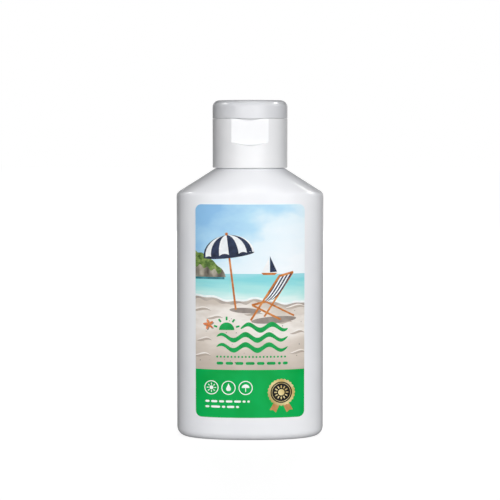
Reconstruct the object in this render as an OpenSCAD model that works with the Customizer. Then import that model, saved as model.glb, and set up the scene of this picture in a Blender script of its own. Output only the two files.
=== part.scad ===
// A flat, oval sunscreen bottle with a flip-top screw cap, standing upright, in millimetres.
// The front faces -Y, the lid's hinge is at +Y, and the origin lies under the middle of the base.

/* [Bottle] */
// Width of the body
body_w = 41; // [38:0.5:60]
// Depth of the body
body_d = 24; // [23:0.5:36]
// Height of the shoulder's flat top above the base
body_h = 75; // [50:0.1:120]
// Power of the curve round the body, where 2 is an ellipse and more is squarer
outline_power = 2.35; // [2:0.05:3.2]
// Thickness of the bottle's wall
wall = 0.85; // [0.6:0.05:1.2]
// Height of the sloping shoulder
shoulder_h = 6.8; // [5:0.1:12]
// Radius of the bend from the wall into the shoulder
shoulder_bend = 1.6; // [1.3:0.1:3]
// Radius of the shoulder's round top
shoulder_r = 9.8; // [9:0.1:12]
// Radius of the bend round the shoulder's top
rim_bend = 0.5; // [0.2:0.1:1]
// Radius of the bend from the base into the wall
base_bend = 2.3; // [1.4:0.1:3]
// Width of the flat ring that the bottle stands on
foot_w = 1.4; // [0.8:0.1:2]
// Width of the slope from that ring up to the base's raised middle
rise_w = 3.6; // [2:0.1:5]
// Height of the base's raised middle
push_up = 1.3; // [0.6:0.1:3]

/* [Neck] */
// Height of the neck above the shoulder
neck_h = 9.5; // [9.4:0.1:12]
// Radius of the neck between the turns of its thread
neck_r = 7.85; // [7.6:0.05:8]
// Radius of the neck's mouth
mouth_r = 6.5; // [5:0.1:6.8]
// Rise of the thread in one turn
thread_pitch = 3.175; // [3:0.025:3.4]
// How far the neck's thread stands out
thread_t = 1.05; // [0.7:0.05:1.1]
// Turns that the thread makes
thread_turns = 1; // [0.8:0.05:1.05]
// Width of the neck's thread at its root
thread_w = 1.5; // [1.2:0.05:1.6]
// Width of the cap's thread at its root
cap_thread_w = 1.3; // [1:0.05:1.4]

/* [Cap base] */
// Outer radius of the cap
cap_r = 10.45; // [10.4:0.05:11.5]
// Thickness of the deck over the bottle's mouth
deck_t = 1.4; // [1:0.1:2]
// Depth of the well above the deck
well_h = 2.1; // [2:0.05:4]
// Thickness of the wall between the well and the thumb recess
well_wall = 0.85; // [0.6:0.05:1.2]
// Radius of the spout
spout_r = 2.2; // [1.8:0.1:3]
// Height of the spout above the deck
spout_h = 3.2; // [2.6:0.1:4]
// Radius of the hole that the lotion comes out of
orifice_r = 1; // [0.8:0.05:1.3]
// Width of the flat thumb recess
thumb_w = 10.2; // [8:0.1:10.4]
// Height of the thumb recess at its sides
thumb_h = 6.4; // [4:0.1:6.8]
// How far the recess's lower edge bows down in the middle
thumb_bow = 0.9; // [0.4:0.1:1.2]
// Rounding of the cap's outer edges
cap_edge = 0.3; // [0.1:0.05:0.4]

/* [Sealing washer] */
// Space that the washer fills between the neck's rim and the deck
liner_t = 0.8; // [0.5:0.05:1.2]
// Radius of the washer's hole
liner_hole_r = 5.6; // [4:0.1:6]

/* [Lid] */
// Height of the lid above the seam
lid_h = 5; // [4.8:0.1:8]
// Thickness of the lid's side wall
lid_wall = 1.1; // [0.9:0.05:1.4]
// Thickness of the lid's roof
lid_roof = 1.2; // [0.9:0.05:1.4]
// Radius of the bend from the lid's side into its roof
lid_bend = 1.9; // [0.6:0.1:2]
// How much the middle of the roof is crowned
lid_crown = 0.1; // [0.05:0.05:0.4]
// Thickness of the ring that snaps into the well
snap_wall = 0.9; // [0.6:0.05:1.2]
// How far that ring reaches down into the well
snap_h = 1.5; // [1:0.1:1.8]
// How far the pin reaches down into the orifice
pin_h = 2; // [1:0.1:2.6]
// Width of the lip that the thumb lifts
lip_w = 5.4; // [3:0.1:7]
// How far the lip hangs below the seam
lip_h = 0.7; // [0.4:0.1:1.2]

/* [Hinge] */
// Width of the film hinge in the middle of the back
web_w = 6.4; // [4:0.1:6.6]
// Height of each half of the hinge, above and below the seam
leaf_h = 1.6; // [1.2:0.1:1.8]
// Thickness of the hinge's films
film_t = 0.3; // [0.2:0.05:0.4]
// Depth of the flat that the film hinge lies on
hinge_flat = 0.6; // [0.5:0.05:0.7]
// Width of each side strap
strap_w = 1.5; // [1:0.1:1.8]
// Angle from the back to the middle of each side strap
strap_angle = 28; // [26:1:36]

/* [Labels] */
// Width of each label
label_w = 29.6; // [20:0.2:30]
// Height of a label's lower edge above the base
label_foot = 6.5; // [4:0.1:12]
// Bare height between a label and the shoulder
label_head = 2.7; // [2:0.1:10]
// Radius of a label's corners
label_corner = 1.7; // [0.5:0.1:3]
// Thickness of a label
label_t = 0.12; // [0.08:0.02:0.2]

/* [Fits] */
// Gap between the shoulder's top and the cap
cap_gap = 0.45; // [0.3:0.05:1]
// Gap at the seam between the cap's base and its lid
seam = 0.25; // [0.15:0.05:0.3]
// Gap between the threads, across and along
thread_gap = 0.2; // [0.12:0.02:0.24]
// Gap round the washer's edge
liner_gap = 0.15; // [0.1:0.05:0.25]
// Gap between flat faces that are pressed together
seat_gap = 0.02; // [0.01:0.01:0.04]
// Gap round the lid's ring in the well
snap_gap = 0.2; // [0.1:0.05:0.25]
// Gap round the pin in the orifice
pin_gap = 0.12; // [0.1:0.02:0.2]
// Gap between the lid's lip and the thumb recess
lip_gap = 0.2; // [0.1:0.05:0.4]
// Gap round each side strap in its pocket
strap_gap = 0.06; // [0.04:0.02:0.1]
// Layer of glue under a label
glue_t = 0.02; // [0.01:0.01:0.04]

/* [Hidden] */

$fn = 96;
// Points round each ring of the bottle's body, and steps along each bend
ring_points = 72;
bend_steps = 5;
slope_steps = 6;
// Steps along a thread, and the share of them over which its ends fade out
thread_steps = 60;
fade_share = 0.08;
least_fade = 0.12;
// How deep a thread's root lies in the wall that carries it, and how much narrower its crest is
thread_bed = 0.25;
crest_share = 0.45;
// How far a cutter passes beyond what it cuts
past = 1;
// The least radius that is left inside a bend
least_bend = 0.3;

// Levels above the base
shoulder_z = body_h - shoulder_h;
rim_z = body_h + neck_h;
cap_z = body_h + cap_gap;
deck_z = rim_z + liner_t;
well_z = deck_z + deck_t;
seam_z = well_z + well_h;
lid_z = seam_z + seam;
top_z = lid_z + lid_h;
spout_z = well_z + spout_h;
roof_z = top_z - lid_roof - lid_crown;

// The slope of the shoulder, as its angle from upright
slope = atan2(body_w / 2 - shoulder_r, shoulder_h);

// Radii inside the cap
thread_bore_r = neck_r + thread_t + thread_gap;
cap_crest_r = neck_r + thread_gap;
liner_r = neck_r + liner_gap / 2;
seat_r = liner_r + liner_gap;
thumb_y = sqrt(cap_r ^ 2 - (thumb_w / 2) ^ 2);
well_r = thumb_y - well_wall;
snap_r = well_r - snap_gap;
pin_r = orifice_r - pin_gap;

// The neck's thread ends below the thumb recess, and the cap's thread bears on it from below
thumb_z = seam_z - thumb_h - thumb_bow;
step_z = thumb_z;
thread_top_z = step_z - thread_w / 2 - thread_gap;
thread_rise = thread_pitch * thread_turns;
thread_mid_w = thread_w * (1 + crest_share) / 2;
cap_thread_mid_w = cap_thread_w * (1 + crest_share) / 2;
thread_drop = thread_mid_w / 2 + cap_thread_mid_w / 2 + thread_gap;

// The hinge's line
hinge_y = cap_r - hinge_flat;
hinge_z = seam_z + seam / 2;

// The labels' height and place
label_h = shoulder_z - label_head - label_foot;

function mix(a, b, t) = a + (b - a) * t;
function ease(t) = t * t * (3 - 2 * t);
function sign_power(v, p) = sign(v) * abs(v) ^ p;

// A ring is [half width, half depth, power of its curve, height]
function ring_outline(ring, out = 0) = [
    for (k = [0 : ring_points - 1])
        let (
            turn = 360 * k / ring_points,
            x = ring[0] * sign_power(cos(turn), 2 / ring[2]),
            y = ring[1] * sign_power(sin(turn), 2 / ring[2]),
            // The outline's normal, for a label that lies a little way out
            nx = sign_power(cos(turn), 2 - 2 / ring[2]) / ring[0],
            ny = sign_power(sin(turn), 2 - 2 / ring[2]) / ring[1],
            n = norm([nx, ny])
        )
        [x + out * nx / n, y + out * ny / n]
];

// Rings of the base, at the depth inset below the outer surface, from its raised middle to the wall
function base_rings(inset) = concat(
    [
        for (k = [0 : slope_steps - 1])
            let (t = k / slope_steps, in = base_bend + foot_w + rise_w * (1 - t))
            base_ring(in, inset + push_up * (1 - ease(t)))
    ],
    [base_ring(base_bend + foot_w, inset)],
    [
        for (k = [0 : bend_steps])
            let (turn = 90 * k / bend_steps, r = base_bend - inset)
            base_ring(base_bend - r * sin(turn), base_bend - r * cos(turn))
    ]
);
function base_ring(in, z) = [body_w / 2 - in, body_d / 2 - in, outline_power, z];

// Rings of the shoulder, from the wall over the bend and the slope to its round top
function shoulder_rings(inset) =
    let (
        wide = body_w / 2 - inset,
        corner_z = shoulder_z - inset * tan(slope / 2),
        high = body_h - inset,
        corner_a = wide - tan(slope) * (high - corner_z),
        r1 = max(shoulder_bend - inset, least_bend),
        r2 = max(rim_bend - inset, least_bend / 2),
        l1 = r1 * tan(slope / 2),
        l2 = r2 * tan((90 - slope) / 2),
        end_a = corner_a - l2,
        start = [wide - r1 + r1 * cos(slope), corner_z - l1 + r1 * sin(slope)],
        stop = [end_a + r2 * cos(slope), high - r2 + r2 * sin(slope)],
        path = concat(
            [
                for (k = [0 : bend_steps])
                    let (turn = slope * k / bend_steps)
                    [wide - r1 + r1 * cos(turn), corner_z - l1 + r1 * sin(turn)]
            ],
            [for (k = [1 : slope_steps - 1]) mix(start, stop, k / slope_steps)],
            [
                for (k = [0 : bend_steps])
                    let (turn = mix(slope, 90, k / bend_steps))
                    [end_a + r2 * cos(turn), high - r2 + r2 * sin(turn)]
            ]
        )
    )
    [for (p = path) shoulder_ring(p, inset, (wide - p[0]) / (wide - end_a), end_a)];
function shoulder_ring(p, inset, t, end_a) =
    [p[0], mix(body_d / 2 - inset, end_a, t * t), mix(outline_power, 2, t), p[1]];

function body_rings(inset) = concat(base_rings(inset), shoulder_rings(inset));

// A closed solid through rings of as many points each
module loft(rings) {
    n = ring_points;
    last = len(rings) - 1;
    points = [for (ring = rings) for (p = ring_outline(ring)) [p[0], p[1], ring[3]]];
    sides = [
        for (i = [0 : last - 1])
            for (k = [0 : n - 1])
                let (next = (k + 1) % n, low = i * n, high = low + n)
                for (face = [[low + k, high + k, high + next], [low + k, high + next, low + next]])
                    face
    ];
    bottom = [for (k = [0 : n - 1]) k];
    top = [for (k = [n - 1 : -1 : 0]) last * n + k];
    polyhedron(points, concat([bottom], sides, [top]));
}

// A thread's ridge from root_r to crest_r, with its middle at bottom_z where it starts
module thread(root_r, crest_r, bottom_z, root_w) {
    crest_w = root_w * crest_share;
    fade_steps = ceil(thread_steps * fade_share);
    points = [
        for (k = [0 : thread_steps])
            let (
                turn = 360 * thread_turns * k / thread_steps,
                fade = max(least_fade, min(1, k / fade_steps, (thread_steps - k) / fade_steps)),
                r = mix(root_r, crest_r, fade),
                z = bottom_z + thread_rise * k / thread_steps
            )
            for (c = [[root_r, -root_w], [r, -crest_w], [r, crest_w], [root_r, root_w]])
                [c[0] * cos(turn), c[0] * sin(turn), z + c[1] / 2]
    ];
    sides = [
        for (i = [0 : thread_steps - 1])
            for (k = [0 : 3])
                let (a = 4 * i + k, b = 4 * i + (k + 1) % 4)
                for (face = [[a, b, b + 4], [a, b + 4, a + 4]])
                    face
    ];
    faces = concat([[3, 2, 1, 0]], sides, [[for (k = [0 : 3]) 4 * thread_steps + k]]);
    outward = crest_r > root_r;
    polyhedron(points, outward ? faces : [for (f = faces) [for (k = [len(f) - 1 : -1 : 0]) f[k]]]);
}

module bottle() {
    color("white")
    difference() {
        union() {
            loft(body_rings(0));
            translate([0, 0, body_h - wall / 2])
                cylinder(r = neck_r, h = neck_h + wall / 2);
            thread(neck_r - thread_bed, neck_r + thread_t, thread_top_z - thread_rise, thread_w);
        }
        loft(body_rings(wall));
        translate([0, 0, body_h - wall - past])
            cylinder(r = mouth_r, h = wall + neck_h + 2 * past);
    }
}

// A film that lies on the body's wall, with rounded corners
module label() {
    ring = base_ring(0, 0);
    intersection() {
        translate([0, 0, label_foot])
            linear_extrude(label_h)
                difference() {
                    polygon(ring_outline(ring, glue_t + label_t));
                    polygon(ring_outline(ring, glue_t));
                }
        translate([0, 0, label_foot + label_h / 2])
            rotate([90, 0, 0])
                linear_extrude(body_d)
                    polygon(rounded_outline(label_w, label_h, label_corner));
    }
}
function rounded_outline(w, h, r) = [
    for (corner = [[1, 1, 0], [-1, 1, 90], [-1, -1, 180], [1, -1, 270]])
        for (k = [0 : bend_steps])
            let (turn = corner[2] + 90 * k / bend_steps)
            [corner[0] * (w / 2 - r) + r * cos(turn), corner[1] * (h / 2 - r) + r * sin(turn)]
];
module front_label() {
    color("lightskyblue") label();
}
module back_label() {
    color("whitesmoke") rotate([0, 0, 180]) label();
}

// The flat recess that the thumb reaches into, open to the front and at the seam
module thumb_cut() {
    r = ((thumb_w / 2) ^ 2 + thumb_bow ^ 2) / (2 * thumb_bow);
    intersection() {
        translate([0, 0, thumb_z + r])
            rotate([90, 0, 0])
                cylinder(r = r, h = cap_r + past);
        translate([-cap_r, -cap_r - past, thumb_z - past])
            cube([2 * cap_r, cap_r + past - thumb_y, seam_z + 2 * past - thumb_z]);
    }
}
// The flat that the film hinge lies on, across the seam
module hinge_cut() {
    translate([-cap_r, hinge_y, hinge_z - leaf_h - seam])
        cube([2 * cap_r, hinge_flat + past, 2 * (leaf_h + seam)]);
}
// A side strap's curved strip, grown by a gap where it is the pocket
module strap(side, gap = 0) {
    wide = (strap_w + 2 * gap) / cap_r * 180 / PI;
    high = leaf_h + gap;
    out = gap > 0 ? past : 0;
    translate([0, 0, hinge_z])
        rotate([0, 0, 90 + side * strap_angle - wide / 2])
            rotate_extrude(angle = wide)
                translate([cap_r - film_t - gap, -high])
                    square([film_t + gap + out, 2 * high]);
}

module cap_base() {
    e = cap_edge;
    profile = [
        [cap_r - e, cap_z],
        [cap_r, cap_z + e],
        [cap_r, seam_z - e / 2],
        [cap_r - e / 2, seam_z],
        [well_r, seam_z],
        [well_r, well_z],
        [spout_r, well_z],
        [spout_r, spout_z - e],
        [spout_r - e, spout_z],
        [orifice_r, spout_z],
        [orifice_r, deck_z],
        [seat_r, deck_z],
        [seat_r, step_z],
        [thread_bore_r, step_z],
        [thread_bore_r, cap_z]
    ];
    color("white")
    union() {
        difference() {
            rotate_extrude() polygon(profile);
            thumb_cut();
            hinge_cut();
            for (side = [-1, 1]) strap(side, strap_gap);
        }
        thread(thread_bore_r + thread_bed, cap_crest_r,
            thread_top_z - thread_rise - thread_drop, cap_thread_w);
    }
}

module sealing_washer() {
    color("gainsboro")
    translate([0, 0, rim_z + seat_gap])
        difference() {
            cylinder(r = liner_r, h = liner_t - 2 * seat_gap);
            translate([0, 0, -past])
                cylinder(r = liner_hole_r, h = liner_t + 2 * past);
        }
}

// The lid's shell with its ring and pin, as half a section
function lid_profile() =
    let (
        side_r = cap_r - lid_wall,
        edge_z = top_z - lid_crown,
        crown_r = ((cap_r - lid_bend) ^ 2 + lid_crown ^ 2) / (2 * lid_crown),
        tip = pin_gap
    )
    concat(
        [[side_r, lid_z], [cap_r - cap_edge / 2, lid_z], [cap_r, lid_z + cap_edge / 2]],
        [
            for (k = [0 : bend_steps])
                let (turn = 90 * k / bend_steps)
                [cap_r - lid_bend + lid_bend * cos(turn), edge_z - lid_bend + lid_bend * sin(turn)]
        ],
        [
            for (k = [1 : slope_steps])
                let (r = (cap_r - lid_bend) * (1 - k / slope_steps))
                [r, top_z - crown_r + sqrt(crown_r ^ 2 - r ^ 2)]
        ],
        [
            [0, spout_z - pin_h],
            [pin_r - tip, spout_z - pin_h],
            [pin_r, spout_z - pin_h + tip],
            [pin_r, roof_z],
            [snap_r - snap_wall, roof_z],
            [snap_r - snap_wall, seam_z - snap_h],
            [snap_r - tip, seam_z - snap_h],
            [snap_r, seam_z - snap_h + tip],
            [snap_r, roof_z],
            [side_r, roof_z]
        ]
    );

module cap_lid() {
    r = ((lip_w / 2) ^ 2 + lip_h ^ 2) / (2 * lip_h);
    color("white")
    union() {
        difference() {
            rotate_extrude() polygon(lid_profile());
            hinge_cut();
            for (side = [-1, 1]) strap(side, strap_gap);
        }
        // The lip that hangs over the thumb recess
        intersection() {
            translate([0, 0, seam_z - lip_h + r])
                rotate([90, 0, 0])
                    cylinder(r = r, h = cap_r + past);
            translate([0, 0, seam_z - lip_h - past])
                cylinder(r = cap_r - cap_edge / 2, h = lip_h + past + seam + lid_wall);
            translate([-lip_w, -cap_r - past, seam_z - lip_h - past])
                cube([2 * lip_w, cap_r + past - thumb_y - lip_gap, lip_h + past + seam + lid_wall]);
        }
    }
}

module hinge_web() {
    color("white")
    translate([-web_w / 2, hinge_y, hinge_z - leaf_h])
        cube([web_w, film_t, 2 * leaf_h]);
}
module hinge_strap_left() {
    color("white") strap(1);
}
module hinge_strap_right() {
    color("white") strap(-1);
}

bottle();
front_label();
back_label();
cap_base();
sealing_washer();
cap_lid();
hinge_web();
hinge_strap_left();
hinge_strap_right();
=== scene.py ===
import math
import random

import bpy
import numpy as np
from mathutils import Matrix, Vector
from mathutils.geometry import delaunay_2d_cdt


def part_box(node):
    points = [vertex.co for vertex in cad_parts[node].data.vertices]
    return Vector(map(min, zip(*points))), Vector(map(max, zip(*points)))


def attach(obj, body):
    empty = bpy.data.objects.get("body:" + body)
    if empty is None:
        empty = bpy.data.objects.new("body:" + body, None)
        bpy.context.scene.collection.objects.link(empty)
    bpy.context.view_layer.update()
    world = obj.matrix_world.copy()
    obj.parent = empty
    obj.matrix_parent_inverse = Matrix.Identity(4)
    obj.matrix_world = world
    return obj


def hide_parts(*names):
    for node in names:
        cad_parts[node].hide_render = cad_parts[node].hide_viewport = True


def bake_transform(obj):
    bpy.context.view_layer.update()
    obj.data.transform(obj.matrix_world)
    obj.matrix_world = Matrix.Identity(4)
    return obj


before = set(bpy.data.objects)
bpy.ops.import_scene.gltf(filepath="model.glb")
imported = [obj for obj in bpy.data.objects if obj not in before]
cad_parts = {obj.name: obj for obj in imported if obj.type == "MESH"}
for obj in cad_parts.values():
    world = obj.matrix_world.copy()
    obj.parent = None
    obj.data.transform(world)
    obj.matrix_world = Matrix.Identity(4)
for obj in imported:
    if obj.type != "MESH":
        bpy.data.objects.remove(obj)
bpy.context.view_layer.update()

# Lengths are in millimetres until a mesh is made
MM = 0.001


def box_mm(node):
    low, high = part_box(node)
    return low / MM, high / MM


# Sizes that the frame gives
BOTTLE_HIGH = box_mm("bottle")[1]
BASE_LOW, BASE_HIGH = box_mm("cap_base")
LABEL_LOW, LABEL_HIGH = box_mm("front_label")
WASHER_LOW, WASHER_HIGH = box_mm("sealing_washer")
WEB_LOW, WEB_HIGH = box_mm("hinge_web")
HALF_W, HALF_D = BOTTLE_HIGH.x, BOTTLE_HIGH.y
RIM_Z, CAP_Z, TOP_Z = BOTTLE_HIGH.z, BASE_LOW.z, box_mm("cap_lid")[1].z
CAP_R = BASE_HIGH.x
WEB_Y = WEB_LOW.y
FILM_T = WEB_HIGH.y - WEB_LOW.y
LEAF_H = (WEB_HIGH.z - WEB_LOW.z) / 2
HINGE_Z = (WEB_HIGH.z + WEB_LOW.z) / 2

# Sizes of the bottle that only the part's source holds
POWER = 2.35        # of the superellipse that the body's outline is
WALL = 0.85
CAP_GAP = 0.45      # from the top of the shoulder to the cap
SHOULDER_H = 6.8
SHOULDER_R = 9.8    # of the shoulder's round top
SHOULDER_BEND = 1.6
RIM_BEND = 0.5
BASE_BEND = 2.3
FOOT_W = 1.4        # of the ring that the bottle stands on
RISE_W = 3.6        # over which the base rises to its raised middle
PUSH_UP = 1.3
NECK_R = 7.85
MOUTH_R = 6.5
BODY_H = CAP_Z - CAP_GAP
SHOULDER_Z = BODY_H - SHOULDER_H
SLOPE = math.atan2(HALF_W - SHOULDER_R, SHOULDER_H)

# The bead round the neck's foot, which closes the gap under the cap
BEAD_R = 9.4
BEAD_W = 0.8
BEAD_GAP = 0.12

# The faint line that the two halves of the mould leave down the bottle's sides
PARTING_W = 0.22
PARTING_T = 0.05
SIDE_TURN = 2.4     # degrees round the body for a millimetre at its side

# Sizes of the threads
PITCH = 3.175
THREAD_T = 1.05
THREAD_TURNS = 1
THREAD_W = 1.5
CAP_THREAD_W = 1.3
THREAD_GAP = 0.2
THREAD_BED = 0.25   # depth of the ridge's root in its wall
CREST_SHARE = 0.45

# Sizes of the cap, where the fold of the hinge is in the middle of the seam
SEAM = 0.25
SEAM_Z = HINGE_Z - SEAM / 2
LID_Z = HINGE_Z + SEAM / 2
THUMB_W = 10.2
THUMB_H = 6.5
THUMB_BOW = 0.9     # sag of the ledge under the thumb recess
LEDGE_H = 0.3
WELL_WALL = 0.85
DECK_T = 1.4
SPOUT_R = 2.2
SPOUT_H = 3.2
ORIFICE_R = 1.0
CAP_EDGE = 0.22
SKIRT_DROP = 0.2    # how far the skirt hangs below the CAD cap
RIM_EDGE = 0.07
RIM_GAP = 0.07      # what shows of the seam between base and lid
SEAT_GAP = 0.02
SEAT_R = NECK_R + 0.225
LID_WALL = 1.1
LID_ROOF = 1.2
LID_BEND = 1.9
LID_CROWN = 0.1
SNAP_WALL = 0.9
SNAP_H = 1.5
SNAP_GAP = 0.2
PIN_H = 2.0
PIN_GAP = 0.12
LIP_W = 5.4
LIP_H = 0.3
LIP_STEP = 0.12     # from the lid's wall in to the lip's face
LIP_RISE = 0.05     # width of the slope above the lip
LIP_GAP = 0.2
LIP_Z = HINGE_Z + 0.5
LID_RIM_H = 0.7
LID_RIM_W = 0.4
LID_RIM_DROP = 0.06
STRAP_W = 1.5
STRAP_ANGLE = 28.0  # from the middle of the back
STRAP_GAP = 0.06
FOLD_SHARE = 0.45   # thickness of a film at its fold, as a share of its own
FOLD_H = 1.6 * SEAM
CUT_SOFT = 0.08     # height over which the hinge's cuts begin, with rows of points at each step
CUT_ROWS = (-0.08, -0.04, 0, 0.04, 0.08)
POCKET_HALF = math.degrees((STRAP_W / 2 + STRAP_GAP) / CAP_R)
POCKET_SOFT = 0.3   # degrees over which a strap's pocket begins
WASHER_HOLE_R = 5.6
SKIRT_Z = CAP_Z - SKIRT_DROP
THUMB_Y = math.sqrt(CAP_R ** 2 - (THUMB_W / 2) ** 2)
THUMB_Z = SEAM_Z - THUMB_H - THUMB_BOW
LEDGE_Z = THUMB_Z + THUMB_BOW
WELL_R = THUMB_Y - WELL_WALL
DECK_Z = WASHER_HIGH.z + SEAT_GAP
WELL_Z = DECK_Z + DECK_T
SPOUT_Z = WELL_Z + SPOUT_H
ROOF_Z = TOP_Z - LID_ROOF - LID_CROWN
SNAP_R = WELL_R - SNAP_GAP
PIN_R = ORIFICE_R - PIN_GAP
THREAD_BORE_R = NECK_R + THREAD_T + THREAD_GAP

# Sizes of the labels
LABEL_W = LABEL_HIGH.x - LABEL_LOW.x
LABEL_FOOT, LABEL_TOP = LABEL_LOW.z, LABEL_HIGH.z
LABEL_MIDDLE = (LABEL_FOOT + LABEL_TOP) / 2
LABEL_CORNER = 1.7
LABEL_T = 0.12
GLUE_T = 0.02
MARGIN = 0.06       # bare film round the print
SPREAD = 0.2        # how far the film is wider than the CAD label at each side


# Meshes

def mesh_object(name, points, faces, materials, slots=None):
    """A smooth-shaded piece from points in millimetres."""
    mesh = bpy.data.meshes.new(name)
    mesh.from_pydata([tuple(p) for p in np.asarray(points) * MM], [], faces)
    mesh.polygons.foreach_set("use_smooth", [True] * len(mesh.polygons))
    for material in materials:
        mesh.materials.append(material)
    if slots is not None:
        mesh.polygons.foreach_set("material_index", slots)
    mesh.update()
    piece = bpy.data.objects.new(name, mesh)
    bpy.context.scene.collection.objects.link(piece)
    return piece


def arc(cx, cz, r, start, stop, steps):
    """Points on an arc, with its angles in degrees."""
    turns = np.radians(np.linspace(start, stop, steps + 1))
    return [(cx + r * math.cos(t), cz + r * math.sin(t)) for t in turns]


def signed_power(values, power):
    return np.sign(values) * np.abs(values) ** power


def smooth_step(t):
    t = np.clip(t, 0, 1)
    return t * t * (3 - 2 * t)


def spaced(values, least):
    """The values in order, without those that follow another by less than the least distance."""
    kept = []
    for value in sorted(values):
        if not kept or value - kept[-1] > least:
            kept.append(value)
    return kept


def outline(half_w, half_d, power, turns):
    """Points round the body's curve, at turns in degrees."""
    c = np.cos(np.radians(turns))
    s = np.sin(np.radians(turns))
    return half_w * signed_power(c, 2 / power), half_d * signed_power(s, 2 / power)


def loft_faces(count, around, poles, closed=False):
    """Quads between rings of points, with a fan to a single point at the first or the last end."""
    faces = []
    for i in range(count if closed else count - 1):
        low, high = i * around, (i + 1) % count * around
        for k in range(around):
            n = (k + 1) % around
            faces.append((low + k, low + n, high + n, high + k))
    first = count * around
    last = first + poles[0]
    if poles[0]:
        faces += [(first, (k + 1) % around, k) for k in range(around)]
    if poles[1]:
        top = (count - 1) * around
        faces += [(last, top + k, top + (k + 1) % around) for k in range(around)]
    return faces


def rounded(path, r=0.12, steps=3):
    """The path with its corners rounded, and a point a little way before and after each bend."""
    out = [path[0]]
    for before, here, after in zip(path, path[1:], path[2:]):
        a, b, c = (np.array(p, float) for p in (before, here, after))
        back, on = np.linalg.norm(a - b), np.linalg.norm(c - b)
        reach = min(r, back / 3.6, on / 3.6)
        start, stop = b + (a - b) / back * reach, b + (c - b) / on * reach
        out.append(tuple(b + (a - b) / back * reach * 1.7))
        for t in np.linspace(0, 1, steps + 1):
            out.append(tuple(start * (1 - t) ** 2 + 2 * b * t * (1 - t) + stop * t * t))
        out.append(tuple(b + (c - b) / on * reach * 1.7))
    return out + [path[-1]]


# The bottle

def body_path(inset):
    """Rings of the body at a depth below its surface, as (half width, half depth, power, height)."""
    rings = []

    def base(inward, z):
        rings.append((HALF_W - inward, HALF_D - inward, POWER, z))

    middle = BASE_BEND + FOOT_W + RISE_W
    for share in (0.3, 0.6, 0.85):
        w, d = HALF_W - middle, HALF_D - middle
        rings.append((w * share, d * share, POWER, inset + PUSH_UP))
    for t in np.linspace(0, 1, 13):
        base(BASE_BEND + FOOT_W + RISE_W * (1 - t), inset + PUSH_UP * (1 - smooth_step(t)))
    base(BASE_BEND + FOOT_W / 2, inset)
    for x, z in arc(BASE_BEND, BASE_BEND, BASE_BEND - inset, 270, 180, 12):
        base(x, z)
    corner_z = SHOULDER_Z - inset * math.tan(SLOPE / 2)
    for z in np.linspace(BASE_BEND + 0.5, corner_z - SHOULDER_BEND - 0.5, 12):
        base(inset, z)
    wide, high = HALF_W - inset, BODY_H - inset
    lower_r = max(SHOULDER_BEND - inset, 0.3)
    upper_r = max(RIM_BEND - inset, 0.15)
    corner_a = wide - math.tan(SLOPE) * (high - corner_z)
    end_a = corner_a - upper_r * math.tan((math.pi / 2 - SLOPE) / 2)
    degrees = math.degrees(SLOPE)
    lower = arc(wide - lower_r, corner_z - lower_r * math.tan(SLOPE / 2), lower_r, 0, degrees, 12)
    upper = arc(end_a, high - upper_r, upper_r, degrees, 90, 8)
    start, stop = np.array(lower[-1]), np.array(upper[0])
    between = [start * (1 - t) + stop * t for t in np.linspace(0, 1, 16)[1:-1]]
    for a, z in lower + between + upper:
        t = (wide - a) / (wide - end_a)
        b = HALF_D - inset + (end_a - HALF_D + inset) * t * t
        rings.append((a, b, POWER + (2 - POWER) * t, z))
    return rings


def neck_path():
    """Rings over the bead that the cap comes down to, up the neck, over its rim and down its bore."""
    bead_z = SKIRT_Z - BEAD_GAP
    path = rounded([
        (BEAD_R + 0.15, BODY_H),
        (BEAD_R, BODY_H),
        (BEAD_R, bead_z),
        (BEAD_R - BEAD_W, bead_z),
        (BEAD_R - BEAD_W, BODY_H),
        (NECK_R, BODY_H),
        (NECK_R, RIM_Z),
        (MOUTH_R, RIM_Z),
        (MOUTH_R, BODY_H - WALL),
        (MOUTH_R + 0.6, BODY_H - WALL),
    ])
    return [(r, r, 2, z) for r, z in path]


def body_turns():
    """Columns round the bottle, closer together at the mould's parting lines."""
    fine = PARTING_W / 2
    close = [side * m * fine * SIDE_TURN for m in (0.5, 1, 1.5, 2.5) for side in (-1, 1)]
    turns = list(np.arange(0, 360, 1.5))
    turns += [(middle + t) % 360 for middle in (0, 180) for t in close]
    return np.array(sorted(set(np.round(turns, 3))))


def build_bottle(material):
    """The container as one closed shell: up its outside, over the rim and down its inside."""
    outside = body_path(0)
    rings = outside + neck_path() + body_path(WALL)[::-1]
    turns = body_turns()
    points = []
    for i, (half_w, half_d, power, z) in enumerate(rings):
        x, y = outline(half_w, half_d, power, turns)
        ridge = smooth_step(1 - np.abs(y) / PARTING_W) * PARTING_T
        if i < len(outside) and half_w > HALF_W - BASE_BEND - FOOT_W:
            x = x + np.sign(x) * ridge
        elif i < len(outside):
            z = z - ridge
        points.append(np.stack([x, y, z + 0 * x], 1))
    ends = [(0, 0, rings[0][3]), (0, 0, rings[-1][3])]
    points = np.vstack(points + [np.array(ends)])
    faces = loft_faces(len(rings), len(turns), (True, True))
    piece = mesh_object("bottle_shell", points, faces, [material])
    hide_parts("bottle")
    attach(piece, "bottle_body")


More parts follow.
